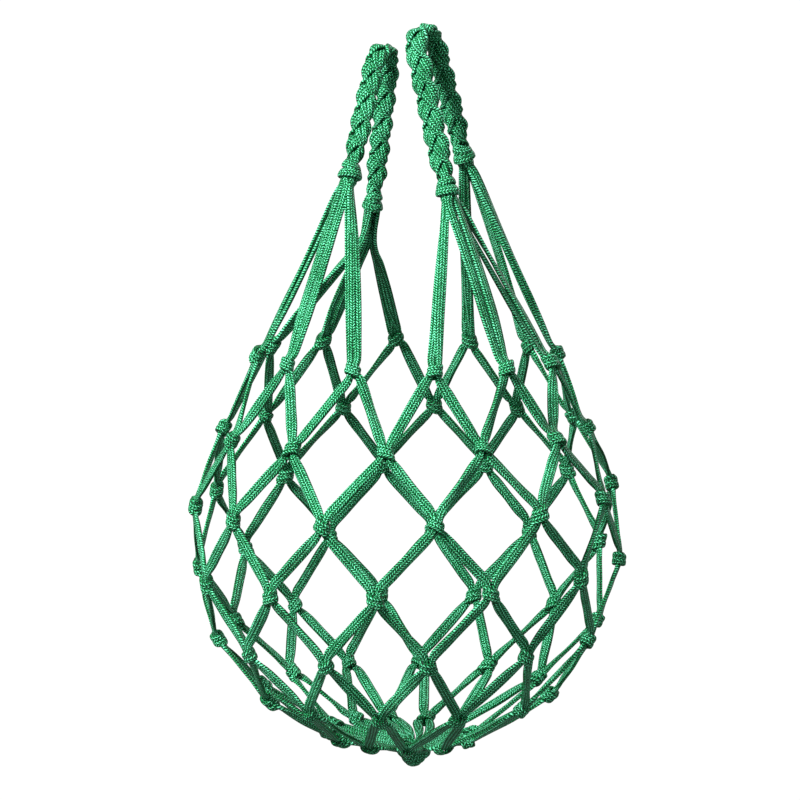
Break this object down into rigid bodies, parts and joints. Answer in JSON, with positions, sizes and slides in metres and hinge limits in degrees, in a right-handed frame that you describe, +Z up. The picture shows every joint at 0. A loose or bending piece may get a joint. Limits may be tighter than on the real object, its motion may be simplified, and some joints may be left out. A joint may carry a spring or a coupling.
{
  "type": "mesh ball bag",
  "caption": "Hand-knotted net bag of flat braided cord for one ball, with two plaited hand loops that swing and fold.",
  "frame": {"origin": "where a hand holds both plaited loops, on the bag's upright axis", "axes": "+Z up, -Y the front, +X the bag's right side as seen from the front; the ball's centre is 0.280 m below the origin"},
  "size_m": [0.2575, 0.2578, 0.4353],
  "materials": {
    "net_cord": "flat tubular braid of glossy polyester cord, green",
    "gather_cord": "flat tubular braid of glossy polyester cord, green",
    "left_strap_cord": "flat tubular braid of glossy polyester cord, green",
    "left_wrap_cord": "flat tubular braid of glossy polyester cord, green",
    "left_plait_cord": "flat tubular braid of glossy polyester cord, green",
    "right_strap_cord": "flat tubular braid of glossy polyester cord, green",
    "right_wrap_cord": "flat tubular braid of glossy polyester cord, green",
    "right_plait_cord": "flat tubular braid of glossy polyester cord, green"
  },
  "bodies": {
    "net": {"net_strand_01": "net_cord", "net_strand_02": "net_cord", "net_strand_03": "net_cord", "net_strand_04": "net_cord", "net_strand_05": "net_cord", "net_strand_06": "net_cord", "net_strand_07": "net_cord", "net_strand_08": "net_cord", "net_strand_09": "net_cord", "net_strand_10": "net_cord", "net_strand_11": "net_cord", "net_strand_12": "net_cord", "net_strand_13": "net_cord", "net_strand_14": "net_cord", "net_strand_15": "net_cord", "net_strand_16": "net_cord", "net_strand_17": "net_cord", "net_strand_18": "net_cord", "net_strand_19": "net_cord", "net_strand_20": "net_cord", "net_strand_21": "net_cord", "net_strand_22": "net_cord", "net_strand_23": "net_cord", "net_strand_24": "net_cord", "base_gather": "gather_cord"},
    "left_handle": {"strap_left_back_13a": "left_strap_cord", "strap_left_back_13b": "left_strap_cord", "strap_left_back_15a": "left_strap_cord", "strap_left_back_15b": "left_strap_cord", "strap_left_back_17a": "left_strap_cord", "strap_left_back_17b": "left_strap_cord", "strap_left_front_19a": "left_strap_cord", "strap_left_front_19b": "left_strap_cord", "strap_left_front_21a": "left_strap_cord", "strap_left_front_21b": "left_strap_cord", "strap_left_front_23a": "left_strap_cord", "strap_left_front_23b": "left_strap_cord", "wrap_left_front": "left_wrap_cord", "wrap_left_back": "left_wrap_cord"},
    "left_grip": {"plait_left_1": "left_plait_cord", "plait_left_2": "left_plait_cord", "plait_left_3": "left_plait_cord"},
    "right_handle": {"strap_right_front_01a": "right_strap_cord", "strap_right_front_01b": "right_strap_cord", "strap_right_front_03a": "right_strap_cord", "strap_right_front_03b": "right_strap_cord", "strap_right_front_05a": "right_strap_cord", "strap_right_front_05b": "right_strap_cord", "strap_right_back_07a": "right_strap_cord", "strap_right_back_07b": "right_strap_cord", "strap_right_back_09a": "right_strap_cord", "strap_right_back_09b": "right_strap_cord", "strap_right_back_11a": "right_strap_cord", "strap_right_back_11b": "right_strap_cord", "wrap_right_front": "right_wrap_cord", "wrap_right_back": "right_wrap_cord"},
    "right_grip": {"plait_right_1": "right_plait_cord", "plait_right_2": "right_plait_cord", "plait_right_3": "right_plait_cord"}
  },
  "joints": [
    {"name": "left_handle_swing", "type": "hinge", "parent": "net", "child": "left_handle", "pos_m": [-0.0878, 0, -0.16514], "axis": [0, -1, 0], "range_deg": [0, 18]},
    {"name": "right_handle_swing", "type": "hinge", "parent": "net", "child": "right_handle", "pos_m": [0.09017, 0, -0.16662], "axis": [0, 1, 0], "range_deg": [0, 18]},
    {"name": "left_grip_fold", "type": "hinge", "parent": "left_handle", "child": "left_grip", "pos_m": [-0.03131, 0.00221, -0.06634], "axis": [-0.0904, -0.9264, 0.3654], "range_deg": [0, 110]},
    {"name": "right_grip_fold", "type": "hinge", "parent": "right_handle", "child": "right_grip", "pos_m": [0.03249, -0.00296, -0.05608], "axis": [0.0665, 0.9549, 0.2895], "range_deg": [0, 110]}
  ]
}
